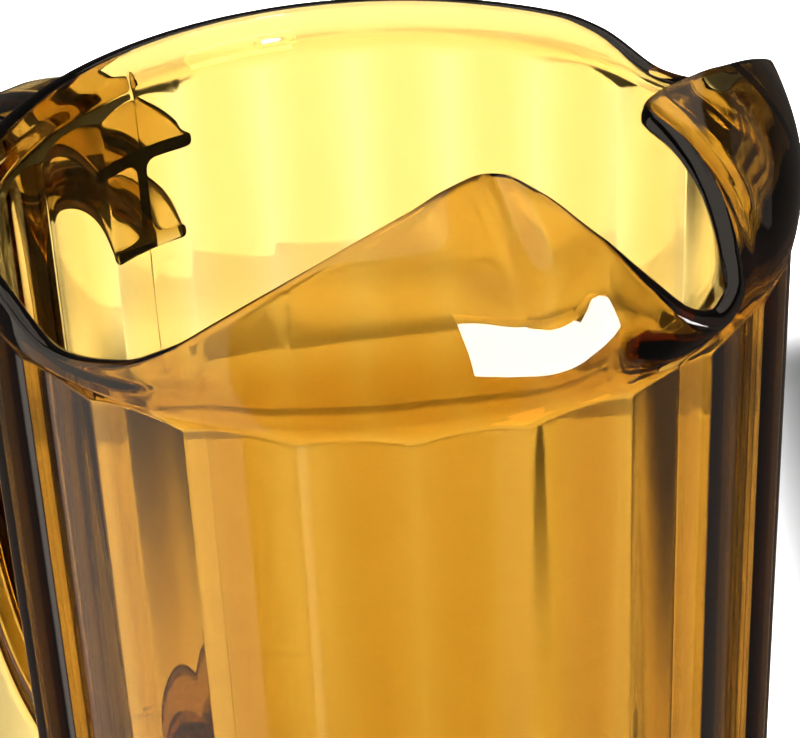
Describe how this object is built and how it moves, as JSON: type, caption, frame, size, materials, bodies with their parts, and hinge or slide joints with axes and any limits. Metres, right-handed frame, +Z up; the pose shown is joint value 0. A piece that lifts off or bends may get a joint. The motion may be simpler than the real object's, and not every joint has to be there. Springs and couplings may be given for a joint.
{
  "type": "fluted table pitcher",
  "caption": "Amber see-through plastic pitcher with a fluted wall, a wavy rim with pouring lips and ice guards, and an I-section side handle.",
  "frame": {"origin": "on the table, under the middle of the outline's bounding box", "axes": "+Z up, +X towards the front pouring lip, -X towards the handle"},
  "size_m": [0.2184, 0.1338, 0.2297],
  "materials": {
    "amber_plastic": "clear, polished, amber tint"
  },
  "bodies": {
    "root": {"fluted_wall": "amber_plastic", "rim_band": "amber_plastic", "floor_plate": "amber_plastic", "foot_ring": "amber_plastic", "handle_outer_flange": "amber_plastic", "handle_web": "amber_plastic", "handle_inner_flange": "amber_plastic"}
  },
  "joints": []
}
